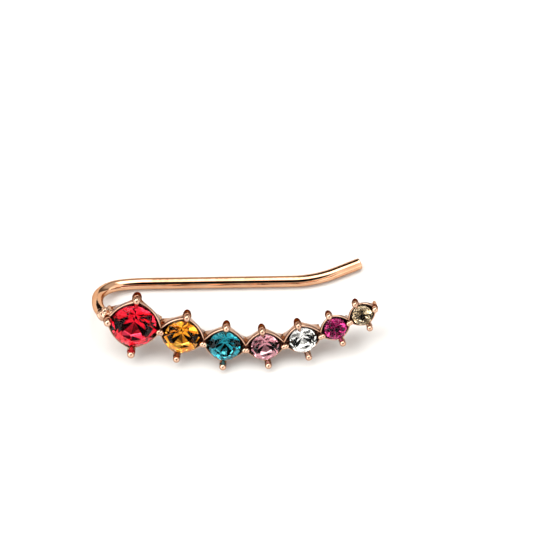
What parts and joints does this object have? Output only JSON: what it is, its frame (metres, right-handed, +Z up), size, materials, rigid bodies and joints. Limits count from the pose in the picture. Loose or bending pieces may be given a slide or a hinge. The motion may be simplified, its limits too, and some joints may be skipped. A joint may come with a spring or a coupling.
{
  "type": "hook earring",
  "caption": "Hook earring with a curved row of round cut stones in pronged baskets, shrinking towards one end, and a long ear wire that runs back behind the row.",
  "frame": {"origin": "middle of the earring's box, on the surface it lies on", "axes": "+X along the row from its largest stone to its smallest, +Y from the row to the ear wire, +Z up from the surface"},
  "size_m": [0.0248, 0.0112, 0.0065],
  "materials": {
    "rose_gold": "polished rose gold plating",
    "ruby_glass": "polished, cut with facets",
    "amber_glass": "polished, cut with facets",
    "teal_glass": "polished, cut with facets",
    "lilac_glass": "polished, cut with facets",
    "clear_glass": "polished, cut with facets",
    "fuchsia_glass": "polished, cut with facets",
    "khaki_glass": "polished, cut with facets"
  },
  "bodies": {
    "root": {"hook_and_settings": "rose_gold", "ruby_stone": "ruby_glass", "amber_stone": "amber_glass", "teal_stone": "teal_glass", "lilac_stone": "lilac_glass", "clear_stone": "clear_glass", "fuchsia_stone": "fuchsia_glass", "khaki_stone": "khaki_glass"}
  },
  "joints": []
}
